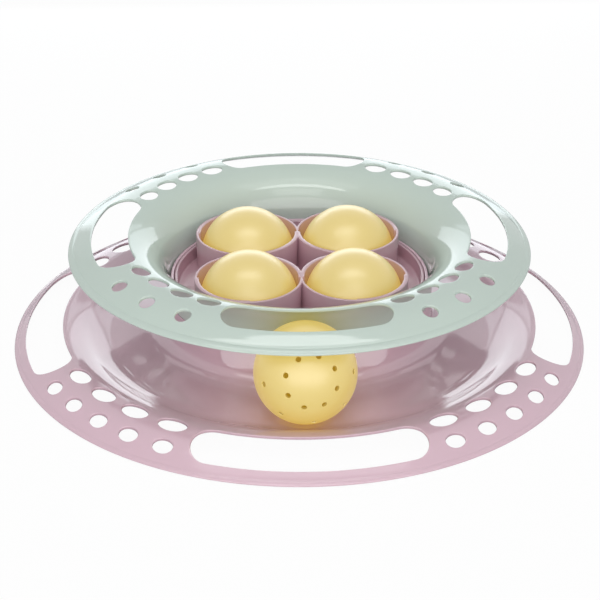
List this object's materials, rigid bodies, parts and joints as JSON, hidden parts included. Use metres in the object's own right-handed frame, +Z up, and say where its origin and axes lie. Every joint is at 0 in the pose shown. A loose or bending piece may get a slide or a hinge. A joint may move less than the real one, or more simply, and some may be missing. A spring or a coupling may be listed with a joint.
{
  "type": "cat ball track toy",
  "caption": "Two-tier round cat toy: a pink base dish with a ball channel, a mint upper dish on its hub, and treat cups covered by yellow balls.",
  "frame": {"origin": "on the ground under the middle of the base dish", "axes": "+Z up, -Y towards the snack ball and the front of the toy, +X to its right"},
  "size_m": [0.24, 0.24, 0.0478],
  "materials": {
    "pink_plastic": "gloss",
    "mint_plastic": "gloss",
    "yellow_plastic": "satin",
    "grey_rubber": "matt"
  },
  "bodies": {
    "base": {"base_dish": "pink_plastic", "hub": "pink_plastic", "foot_pad_1": "grey_rubber", "foot_pad_2": "grey_rubber", "foot_pad_3": "grey_rubber", "foot_pad_4": "grey_rubber"},
    "upper_dish": {"upper_dish": "mint_plastic"},
    "treat_tray": {"treat_tray": "pink_plastic"},
    "snack_ball": {"snack_ball_back": "yellow_plastic"},
    "snack_ball_cap": {"snack_ball_front": "yellow_plastic"},
    "cover_ball_1": {"cover_ball_1_lower": "yellow_plastic", "cover_ball_1_upper": "yellow_plastic"},
    "cover_ball_2": {"cover_ball_2_lower": "yellow_plastic", "cover_ball_2_upper": "yellow_plastic"},
    "cover_ball_3": {"cover_ball_3_lower": "yellow_plastic", "cover_ball_3_upper": "yellow_plastic"},
    "cover_ball_4": {"cover_ball_4_lower": "yellow_plastic", "cover_ball_4_upper": "yellow_plastic"}
  },
  "joints": [
    {"name": "upper_dish_lift", "type": "slide", "parent": "base", "child": "upper_dish", "axis": [0, 0, 1], "range_m": [0, 0.06]},
    {"name": "treat_tray_lift", "type": "slide", "parent": "base", "child": "treat_tray", "axis": [0, 0, 1], "range_m": [0, 0.05]},
    {"name": "snack_ball_orbit", "type": "hinge", "parent": "base", "child": "snack_ball", "pos_m": [0, 0, 0.0231], "axis": [0, 0, 1], "continuous": true},
    {"name": "snack_ball_twist", "type": "hinge", "parent": "snack_ball", "child": "snack_ball_cap", "pos_m": [-0.00066, -0.07599, 0.0231], "axis": [0.0897, -0.949, 0.3024], "range_deg": [0, 45]},
    {"name": "cover_ball_1_lift", "type": "slide", "parent": "treat_tray", "child": "cover_ball_1", "axis": [0, 0, 1], "range_m": [0, 0.04]},
    {"name": "cover_ball_2_lift", "type": "slide", "parent": "treat_tray", "child": "cover_ball_2", "axis": [0, 0, 1], "range_m": [0, 0.04]},
    {"name": "cover_ball_3_lift", "type": "slide", "parent": "treat_tray", "child": "cover_ball_3", "axis": [0, 0, 1], "range_m": [0, 0.04]},
    {"name": "cover_ball_4_lift", "type": "slide", "parent": "treat_tray", "child": "cover_ball_4", "axis": [0, 0, 1], "range_m": [0, 0.04]}
  ]
}
